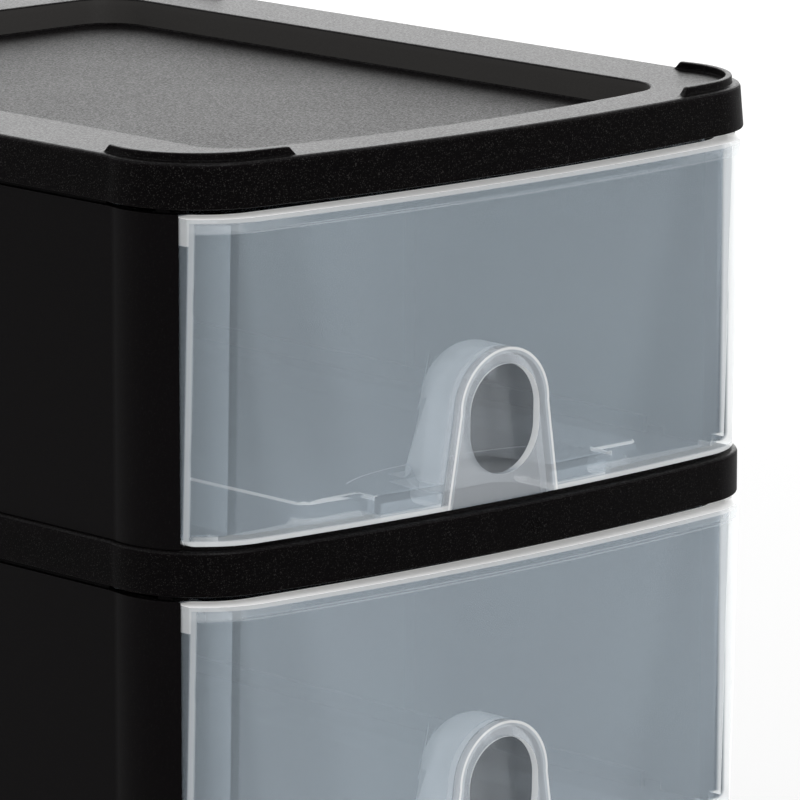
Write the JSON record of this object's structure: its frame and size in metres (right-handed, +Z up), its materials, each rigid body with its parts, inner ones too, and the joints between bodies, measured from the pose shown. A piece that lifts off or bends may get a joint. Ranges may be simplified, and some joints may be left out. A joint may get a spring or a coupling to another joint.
{
  "type": "drawer tower",
  "caption": "Desktop tower of stacked translucent plastic drawers with hooded finger holes in a black bow-fronted plastic casing with a tray top.",
  "frame": {"origin": "middle of the footprint, on the surface the tower stands on", "axes": "+X to the right as seen from the front, fronts face -Y, +Z up"},
  "size_m": [0.19, 0.244, 0.2841],
  "materials": {
    "black_plastic": "fine moulded grain",
    "clear_plastic": "smooth translucent polypropylene"
  },
  "bodies": {
    "casing": {"top_cover": "black_plastic", "shelf_upper": "black_plastic", "shelf_lower": "black_plastic", "base": "black_plastic", "side_panel_left_bottom": "black_plastic", "side_panel_right_bottom": "black_plastic", "back_panel_bottom": "black_plastic", "side_panel_left_middle": "black_plastic", "side_panel_right_middle": "black_plastic", "back_panel_middle": "black_plastic", "side_panel_left_top": "black_plastic", "side_panel_right_top": "black_plastic", "back_panel_top": "black_plastic"},
    "drawer_bottom_body": {"drawer_bottom": "clear_plastic"},
    "drawer_middle_body": {"drawer_middle": "clear_plastic"},
    "drawer_top_body": {"drawer_top": "clear_plastic"}
  },
  "joints": [
    {"name": "drawer_bottom_slide", "type": "slide", "parent": "casing", "child": "drawer_bottom_body", "axis": [0, -1, 0], "range_m": [0, 0.18]},
    {"name": "drawer_middle_slide", "type": "slide", "parent": "casing", "child": "drawer_middle_body", "axis": [0, -1, 0], "range_m": [0, 0.18]},
    {"name": "drawer_top_slide", "type": "slide", "parent": "casing", "child": "drawer_top_body", "axis": [0, -1, 0], "range_m": [0, 0.18]}
  ]
}
